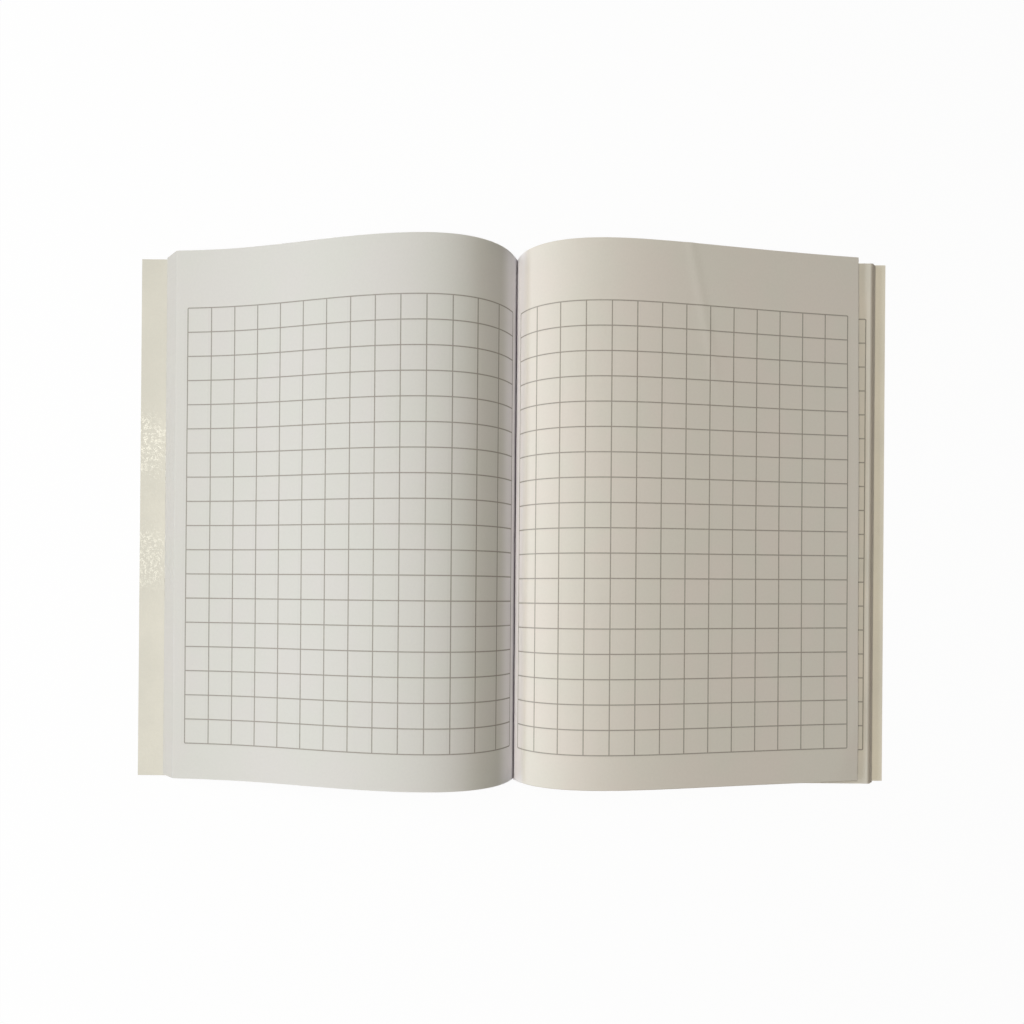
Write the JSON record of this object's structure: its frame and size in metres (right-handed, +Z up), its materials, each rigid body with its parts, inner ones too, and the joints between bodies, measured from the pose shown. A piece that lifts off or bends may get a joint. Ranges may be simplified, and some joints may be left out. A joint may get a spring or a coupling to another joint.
{
  "type": "exercise book",
  "caption": "Soft-cover exercise book lying open at grid-ruled pages that arch up from the gutter, with a scored card cover whose front half closes and a leaf that turns.",
  "frame": {"origin": "middle of the spine panel's underside, on the table", "axes": "+X across the spread towards the back cover, +Y towards the head of the page, +Z up from the table"},
  "size_m": [0.3028, 0.2112, 0.0237],
  "materials": {
    "cover_card": "coated, slightly glossy",
    "binding_glue": "satin",
    "ruled_paper": "matte, printed with a square grid"
  },
  "bodies": {
    "back_half": {"spine_panel": "cover_card", "spine_glue": "binding_glue", "back_cover": "cover_card", "back_leaves_01": "ruled_paper", "back_leaves_02": "ruled_paper", "back_leaves_03": "ruled_paper", "back_leaves_04": "ruled_paper", "back_leaves_05": "ruled_paper", "back_leaves_06": "ruled_paper"},
    "front_cover": {"front_cover": "cover_card"},
    "front_pages": {"front_leaves_01": "ruled_paper", "front_leaves_02": "ruled_paper", "front_leaves_03": "ruled_paper", "front_leaves_04": "ruled_paper", "front_leaves_05": "ruled_paper", "front_leaves_06": "ruled_paper", "front_leaves_07": "ruled_paper", "front_leaves_08": "ruled_paper", "front_leaves_09": "ruled_paper", "front_leaves_10": "ruled_paper", "front_leaves_11": "ruled_paper", "front_leaves_12": "ruled_paper"},
    "turning_leaf": {"turning_leaf": "ruled_paper"}
  },
  "joints": [
    {"name": "front_cover_close", "type": "hinge", "parent": "back_half", "child": "front_cover", "pos_m": [-0.0032, 0, 0.00015], "axis": [0, 1, 0], "range_deg": [0, 68]},
    {"name": "front_pages_bend", "type": "hinge", "parent": "back_half", "child": "front_pages", "pos_m": [-0.0006, 0, 0.008], "axis": [0, 1, 0], "range_deg": [0, 70], "deforming": ["front_leaves_01", "front_leaves_02", "front_leaves_03", "front_leaves_04", "front_leaves_05", "front_leaves_06", "front_leaves_07", "front_leaves_08", "front_leaves_09", "front_leaves_10", "front_leaves_11", "front_leaves_12"]},
    {"name": "leaf_turn", "type": "hinge", "parent": "back_half", "child": "turning_leaf", "pos_m": [0.0059, 0, 0.0095], "axis": [0, 1, 0], "range_deg": [-178, 0], "deforming": ["turning_leaf"]}
  ],
  "couplings": [
    {"joint": "front_pages_bend", "follows": "front_cover_close", "ratio": 1.017}
  ]
}
